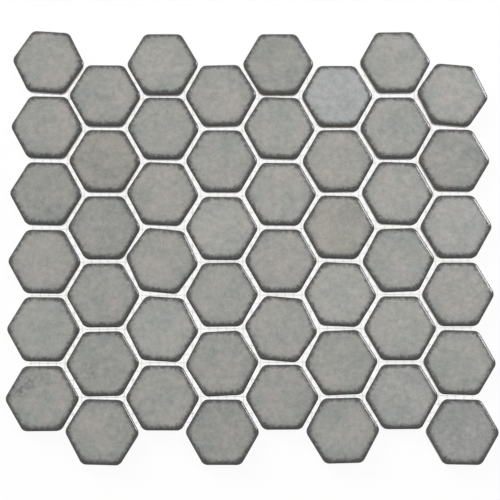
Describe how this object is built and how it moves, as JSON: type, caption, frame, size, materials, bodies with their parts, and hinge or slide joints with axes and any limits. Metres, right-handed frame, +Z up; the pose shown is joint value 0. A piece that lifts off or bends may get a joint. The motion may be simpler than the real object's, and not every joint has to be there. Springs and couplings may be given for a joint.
{
  "type": "hexagon mosaic tile sheet",
  "caption": "Mosaic sheet of satin grey glazed hexagon tiles with cushioned edges, staggered in columns with open joints on a trimmed thread net.",
  "frame": {"origin": "under the middle of the sheet's box, on the underside of the net", "axes": "+Z up out of the glazed faces, +X along the sheet's long side, across the columns"},
  "size_m": [0.2878, 0.2622, 0.0064],
  "materials": {
    "grey_glaze": "satin mottled grey glaze, darker where it thins at the edges",
    "net": "white coated glass-fibre threads, laid in two layers"
  },
  "bodies": {
    "root": {"tile_r1_c1": "grey_glaze", "tile_r1_c2": "grey_glaze", "tile_r1_c3": "grey_glaze", "tile_r1_c4": "grey_glaze", "tile_r1_c5": "grey_glaze", "tile_r1_c6": "grey_glaze", "tile_r1_c7": "grey_glaze", "tile_r1_c8": "grey_glaze", "tile_r2_c1": "grey_glaze", "tile_r2_c2": "grey_glaze", "tile_r2_c3": "grey_glaze", "tile_r2_c4": "grey_glaze", "tile_r2_c5": "grey_glaze", "tile_r2_c6": "grey_glaze", "tile_r2_c7": "grey_glaze", "tile_r2_c8": "grey_glaze", "tile_r3_c1": "grey_glaze", "tile_r3_c2": "grey_glaze", "tile_r3_c3": "grey_glaze", "tile_r3_c4": "grey_glaze", "tile_r3_c5": "grey_glaze", "tile_r3_c6": "grey_glaze", "tile_r3_c7": "grey_glaze", "tile_r3_c8": "grey_glaze", "tile_r4_c1": "grey_glaze", "tile_r4_c2": "grey_glaze", "tile_r4_c3": "grey_glaze", "tile_r4_c4": "grey_glaze", "tile_r4_c5": "grey_glaze", "tile_r4_c6": "grey_glaze", "tile_r4_c7": "grey_glaze", "tile_r4_c8": "grey_glaze", "tile_r5_c1": "grey_glaze", "tile_r5_c2": "grey_glaze", "tile_r5_c3": "grey_glaze", "tile_r5_c4": "grey_glaze", "tile_r5_c5": "grey_glaze", "tile_r5_c6": "grey_glaze", "tile_r5_c7": "grey_glaze", "tile_r5_c8": "grey_glaze", "tile_r6_c1": "grey_glaze", "tile_r6_c2": "grey_glaze", "tile_r6_c3": "grey_glaze", "tile_r6_c4": "grey_glaze", "tile_r6_c5": "grey_glaze", "tile_r6_c6": "grey_glaze", "tile_r6_c7": "grey_glaze", "tile_r6_c8": "grey_glaze", "net_warp_threads": "net", "net_weft_threads": "net"}
  },
  "joints": []
}
